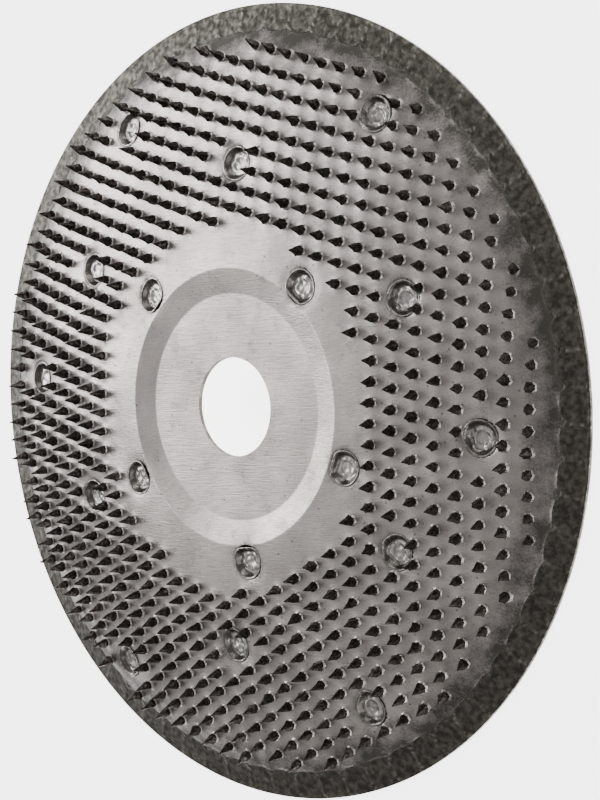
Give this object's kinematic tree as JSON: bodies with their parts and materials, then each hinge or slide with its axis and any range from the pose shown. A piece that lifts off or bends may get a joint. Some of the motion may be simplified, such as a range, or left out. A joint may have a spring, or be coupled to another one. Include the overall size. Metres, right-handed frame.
{
  "type": "angle grinder carving disc",
  "caption": "Domed two-sheet steel rasp disc with sharp punched teeth, a recessed hub and a plain bore, for shaping wood on an angle grinder.",
  "frame": {"origin": "centre of the bore in the rear clamping face of the hub", "axes": "+Z along the bore axis towards the toothed side; the disc lies flat in XY with its rim below the origin"},
  "size_m": [0.18, 0.18, 0.0158],
  "materials": {
    "backing_steel": "cold-rolled sheet, fine brushed grain",
    "toothed_steel": "fine brushed grain, brighter where rubbed",
    "seam_steel": "heat-darkened and mottled by the seam weld",
    "tooth_steel": "dark hardened spikes with bright edges",
    "weld_steel": "pressed and heat-tinted electrode marks"
  },
  "bodies": {
    "root": {"backing_sheet": "backing_steel", "toothed_sheet": "toothed_steel", "rim_seam_weld": "seam_steel", "rasp_teeth": "tooth_steel", "hub_spot_weld_1": "weld_steel", "hub_spot_weld_2": "weld_steel", "hub_spot_weld_3": "weld_steel", "hub_spot_weld_4": "weld_steel", "hub_spot_weld_5": "weld_steel", "inner_spot_weld_1": "weld_steel", "inner_spot_weld_2": "weld_steel", "inner_spot_weld_3": "weld_steel", "inner_spot_weld_4": "weld_steel", "inner_spot_weld_5": "weld_steel", "inner_spot_weld_6": "weld_steel", "outer_spot_weld_1": "weld_steel", "outer_spot_weld_2": "weld_steel", "outer_spot_weld_3": "weld_steel", "outer_spot_weld_4": "weld_steel", "outer_spot_weld_5": "weld_steel", "outer_spot_weld_6": "weld_steel"}
  },
  "joints": []
}
